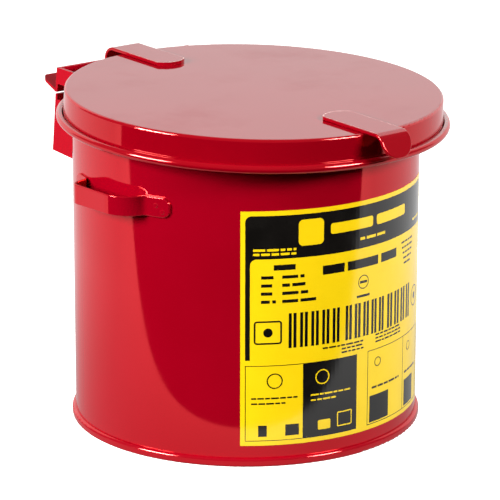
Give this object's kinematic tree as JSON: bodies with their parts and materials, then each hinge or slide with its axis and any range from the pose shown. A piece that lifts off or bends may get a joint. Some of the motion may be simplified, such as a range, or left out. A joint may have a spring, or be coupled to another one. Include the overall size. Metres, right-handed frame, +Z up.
{
  "type": "oily waste can",
  "caption": "Round bench-top sheet-steel can for oily rags with a self-closing hinged lid, a front lift tab, side handles and a wrap-round label.",
  "frame": {"origin": "on the body's axis, at the plane the can stands on", "axes": "+Z up; -Y is the front with the lift tab; +Y is the back with the hinge; the handles are at -X and +X"},
  "size_m": [0.258, 0.3006, 0.23],
  "materials": {
    "red_paint": "gloss powder coat",
    "inside_paint": "gloss powder coat",
    "bare_steel": "zinc plated wire",
    "label_film": "gloss printed film"
  },
  "bodies": {
    "can_body": {"body_shell": "red_paint", "mouth_wire": "bare_steel", "bottom_pan": "inside_paint", "base_seam_hoop": "red_paint", "label_sheet": "label_film", "right_handle": "red_paint", "left_handle": "red_paint", "handle_spot_welds": "red_paint", "lower_hinge_bracket": "red_paint", "lower_hinge_leaf": "red_paint", "lower_leaf_rivets": "red_paint", "lower_bracket_welds": "red_paint", "hinge_pin": "bare_steel", "hinge_pin_caps": "red_paint"},
    "lid": {"lid_panel": "red_paint", "lid_rim_wire": "bare_steel", "lift_tab": "red_paint", "rear_strap": "red_paint", "upper_hinge_bracket": "red_paint", "upper_hinge_leaf": "red_paint", "upper_leaf_rivets": "red_paint", "upper_bracket_welds": "red_paint"}
  },
  "joints": [
    {"name": "lid_hinge", "type": "hinge", "parent": "can_body", "child": "lid", "pos_m": [0, 0.1321, 0.2033], "axis": [-1, 0, 0], "range_deg": [0, 60]}
  ]
}
